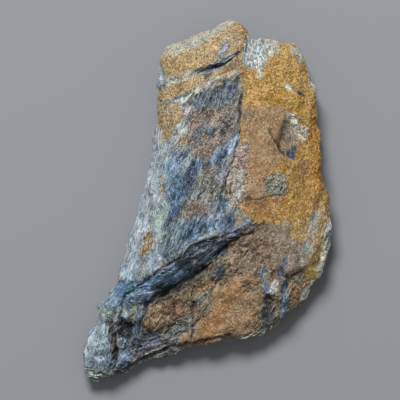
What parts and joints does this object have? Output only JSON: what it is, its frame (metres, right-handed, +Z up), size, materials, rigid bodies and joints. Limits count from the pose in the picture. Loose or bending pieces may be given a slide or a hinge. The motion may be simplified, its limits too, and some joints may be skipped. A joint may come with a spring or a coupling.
{
  "type": "raw pietersite",
  "caption": "Rough slab of brecciated fibrous blue and gold chalcedony, broken along its fibres, with a stepped top, cracked lower ledge and tapering tip; rests on its flatter side.",
  "frame": {"origin": "middle of the stone's box in plan, on the plane that it rests on", "axes": "+Z up, square to the resting plane; +Y along the stone's length, from the tapering tip to the wide end; +X across, from the pale flank to the gold side"},
  "size_m": [0.0752, 0.1088, 0.0265],
  "materials": {
    "raw_pietersite": "rough broken stone: silky blue-grey fibres, gold and brown grainy patches, dark seams"
  },
  "bodies": {
    "root": {"raw_pietersite": "raw_pietersite"}
  },
  "joints": []
}
